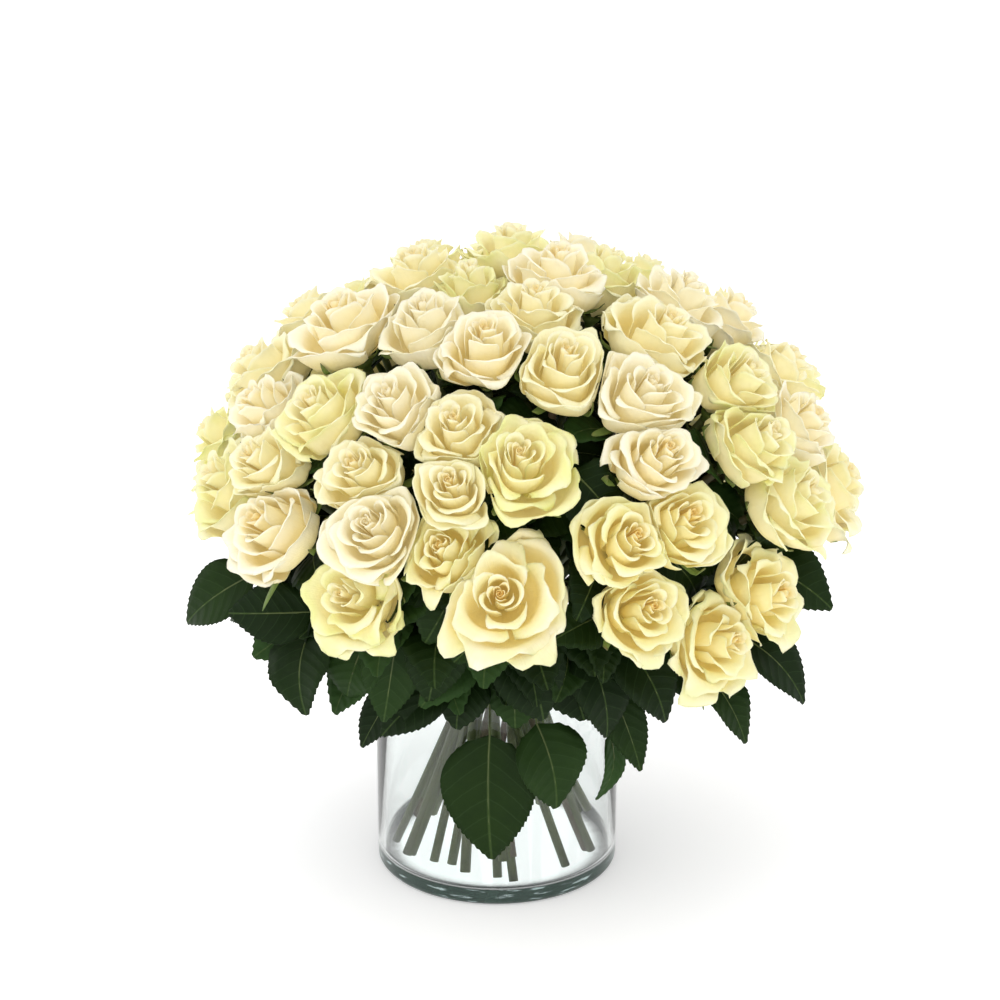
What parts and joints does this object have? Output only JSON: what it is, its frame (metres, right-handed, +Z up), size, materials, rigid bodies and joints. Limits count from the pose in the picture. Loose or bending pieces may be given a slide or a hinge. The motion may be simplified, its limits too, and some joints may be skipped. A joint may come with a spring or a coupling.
{
  "type": "rose centerpiece in a glass vase",
  "caption": "Round dome of cream roses with serrated leaves, its stems crossing and splaying in a clear glass cylinder vase that stands on a table.",
  "frame": {"origin": "middle of the vase's underside, on the surface it stands on", "axes": "+Z up along the vase's axis; -Y is the front, where leaves hang over the rim; +X is the viewer's right"},
  "size_m": [0.5281, 0.4588, 0.51],
  "materials": {
    "petals": "soft satin cream petals, warmer in the heart, greenish at the outer edges",
    "greens": "dark green leaves with a waxy sheen, olive stems",
    "glass": "clear, smooth, faintly blue-green in the thick base"
  },
  "bodies": {
    "root": {"leafy_stems": "greens", "rose_01": "petals", "rose_02": "petals", "rose_03": "petals", "rose_04": "petals", "rose_05": "petals", "rose_06": "petals", "rose_07": "petals", "rose_08": "petals", "rose_09": "petals", "rose_10": "petals", "rose_11": "petals", "rose_12": "petals", "rose_13": "petals", "rose_14": "petals", "rose_15": "petals", "rose_16": "petals", "rose_17": "petals", "rose_18": "petals", "rose_19": "petals", "rose_20": "petals", "rose_21": "petals", "rose_22": "petals", "rose_23": "petals", "rose_24": "petals", "rose_25": "petals", "rose_26": "petals", "rose_27": "petals", "rose_28": "petals", "rose_29": "petals", "rose_30": "petals", "rose_31": "petals", "rose_32": "petals", "rose_33": "petals", "rose_34": "petals", "rose_35": "petals", "rose_36": "petals", "rose_37": "petals", "rose_38": "petals", "rose_39": "petals", "rose_40": "petals", "rose_41": "petals", "roses_42": "petals", "roses_43": "petals", "roses_44": "petals", "roses_45": "petals", "roses_46": "petals", "roses_47": "petals", "roses_48": "petals", "roses_49": "petals", "roses_50": "petals", "roses_51": "petals", "roses_52": "petals", "roses_53": "petals", "roses_54": "petals", "vase": "glass"}
  },
  "joints": []
}
